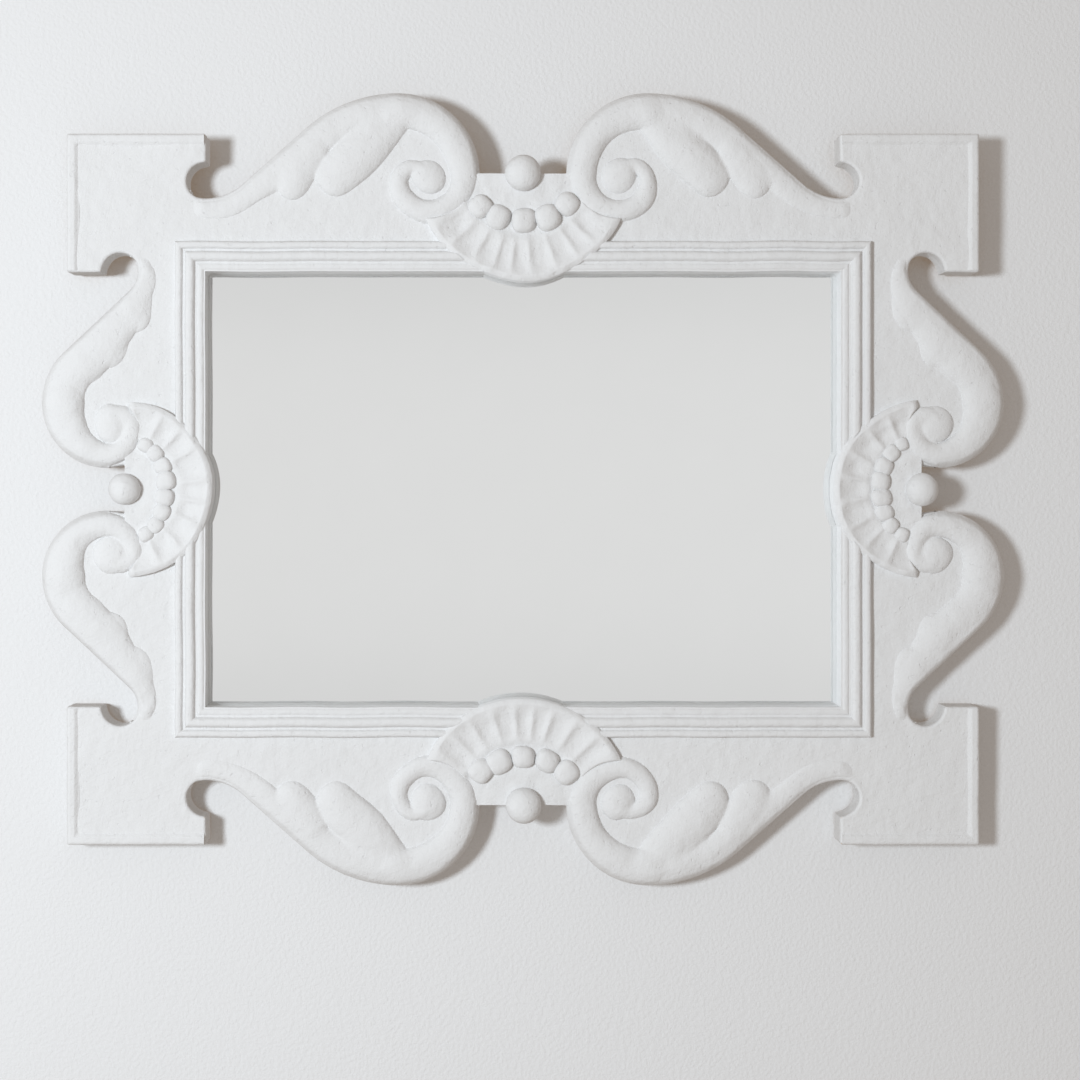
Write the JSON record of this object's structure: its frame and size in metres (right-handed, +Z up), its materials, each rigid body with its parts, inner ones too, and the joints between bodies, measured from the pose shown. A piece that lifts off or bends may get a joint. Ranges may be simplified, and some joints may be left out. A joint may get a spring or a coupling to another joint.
{
  "type": "plaster wall mirror",
  "caption": "Landscape wall mirror in a hand-modelled white plaster frame with square corner blocks, scrolls, fluted shells, beads and pearls, hung on D rings",
  "frame": {"origin": "Middle of the back, in the plane that lies against the wall (the backing board's back face).", "axes": "+X to the viewer's right, +Z up, +Y into the wall; the glass faces -Y."},
  "size_m": [1.22, 0.071, 1.004],
  "materials": {
    "plaster": "matt white gesso plaster, hand modelled, faint brush marks",
    "ground_timber": "pine ground boards, front and edges skimmed in white gesso, back bare",
    "silvered_glass": "flat silvered float glass",
    "backing": "bare hardboard",
    "screw_steel": "zinc-plated steel",
    "hanger_steel": "zinc-plated pressed steel and wire"
  },
  "bodies": {
    "root": {"top_board": "ground_timber", "bottom_board": "ground_timber", "left_board": "ground_timber", "right_board": "ground_timber", "corner_border_top_left": "plaster", "corner_border_top_right": "plaster", "corner_border_bottom_left": "plaster", "corner_border_bottom_right": "plaster", "moulding_top_left": "plaster", "moulding_top_right": "plaster", "moulding_bottom_left": "plaster", "moulding_bottom_right": "plaster", "moulding_left_upper": "plaster", "moulding_left_lower": "plaster", "moulding_right_upper": "plaster", "moulding_right_lower": "plaster", "scroll_top_left": "plaster", "scroll_top_right": "plaster", "scroll_bottom_left": "plaster", "scroll_bottom_right": "plaster", "scroll_left_upper": "plaster", "scroll_left_lower": "plaster", "scroll_right_upper": "plaster", "scroll_right_lower": "plaster", "shell_top": "plaster", "shell_bottom": "plaster", "shell_left": "plaster", "shell_right": "plaster", "beads_top": "plaster", "beads_bottom": "plaster", "beads_left": "plaster", "beads_right": "plaster", "pearl_top": "plaster", "pearl_bottom": "plaster", "pearl_left": "plaster", "pearl_right": "plaster", "mirror_glass": "silvered_glass", "backing_board": "backing", "backing_screws": "screw_steel", "lap_screws": "screw_steel", "hanger_screws": "screw_steel", "hanger_strap_left": "hanger_steel", "hanger_strap_right": "hanger_steel"},
    "ring_left": {"hanger_ring_left": "hanger_steel"},
    "ring_right": {"hanger_ring_right": "hanger_steel"}
  },
  "joints": [
    {"name": "ring_left_swing", "type": "hinge", "parent": "root", "child": "ring_left", "pos_m": [-0.5, -0.0055, 0.15], "axis": [1, 0, 0], "range_deg": [0, 180]},
    {"name": "ring_right_swing", "type": "hinge", "parent": "root", "child": "ring_right", "pos_m": [0.5, -0.0055, 0.15], "axis": [1, 0, 0], "range_deg": [0, 180]}
  ]
}
